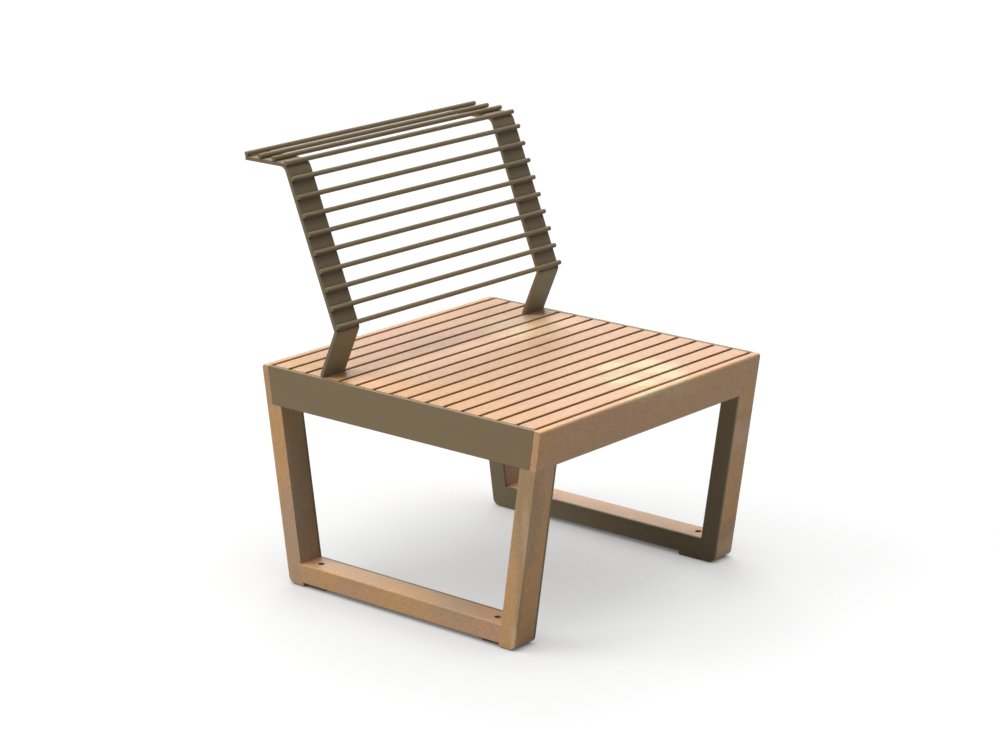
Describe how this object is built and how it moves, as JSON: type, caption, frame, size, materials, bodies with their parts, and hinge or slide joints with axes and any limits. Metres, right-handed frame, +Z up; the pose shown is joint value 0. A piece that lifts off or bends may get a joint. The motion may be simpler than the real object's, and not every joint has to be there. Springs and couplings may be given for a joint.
{
  "type": "garden chair",
  "caption": "Low armless garden chair: slatted wooden seat on two trapezoid leg frames of wood and steel plate, with a leaning back of round steel rods on bent flat brackets.",
  "frame": {"origin": "on the floor, in the middle of the four anchor holes", "axes": "+X towards the sitter's left, -Y the way the sitter faces, +Z up"},
  "size_m": [0.711, 0.7677, 0.8856],
  "materials": {
    "oiled_hardwood": "satin oil",
    "powder_coated_steel": "satin bronze powder coat",
    "zinc_plated_steel": "zinc plated"
  },
  "bodies": {
    "root": {"back_rod_01": "powder_coated_steel", "back_rod_02": "powder_coated_steel", "back_rod_03": "powder_coated_steel", "back_rod_04": "powder_coated_steel", "back_rod_05": "powder_coated_steel", "back_rod_06": "powder_coated_steel", "back_rod_07": "powder_coated_steel", "back_rod_08": "powder_coated_steel", "back_rod_09": "powder_coated_steel", "back_rod_10": "powder_coated_steel", "back_rod_11": "powder_coated_steel", "back_rod_12": "powder_coated_steel", "back_rod_13": "powder_coated_steel", "board_screws": "zinc_plated_steel", "bracket_bolts": "zinc_plated_steel", "bracket_nuts": "zinc_plated_steel", "front_board": "oiled_hardwood", "front_cross_bar": "powder_coated_steel", "left_back_bracket": "powder_coated_steel", "left_bottom_rail": "oiled_hardwood", "left_bracket_anchor": "powder_coated_steel", "left_frame_plate": "powder_coated_steel", "left_front_foot_plate": "powder_coated_steel", "left_front_leg": "oiled_hardwood", "left_rear_foot_plate": "powder_coated_steel", "left_rear_leg": "oiled_hardwood", "left_side_plate": "powder_coated_steel", "left_slat_carrier": "powder_coated_steel", "leg_screws": "powder_coated_steel", "rear_board": "oiled_hardwood", "rear_cross_bar": "powder_coated_steel", "right_back_bracket": "powder_coated_steel", "right_bottom_rail": "oiled_hardwood", "right_bracket_anchor": "powder_coated_steel", "right_frame_plate": "powder_coated_steel", "right_front_foot_plate": "powder_coated_steel", "right_front_leg": "oiled_hardwood", "right_rear_foot_plate": "powder_coated_steel", "right_rear_leg": "oiled_hardwood", "right_side_plate": "powder_coated_steel", "right_slat_carrier": "powder_coated_steel", "seat_slat_01": "oiled_hardwood", "seat_slat_02": "oiled_hardwood", "seat_slat_03": "oiled_hardwood", "seat_slat_04": "oiled_hardwood", "seat_slat_05": "oiled_hardwood", "seat_slat_06": "oiled_hardwood", "seat_slat_07": "oiled_hardwood", "seat_slat_08": "oiled_hardwood", "seat_slat_09": "oiled_hardwood", "seat_slat_10": "oiled_hardwood", "seat_slat_11": "oiled_hardwood", "seat_slat_12": "oiled_hardwood", "seat_slat_13": "oiled_hardwood", "seat_slat_14": "oiled_hardwood", "seat_slat_15": "oiled_hardwood", "slat_screws": "zinc_plated_steel"}
  },
  "joints": []
}
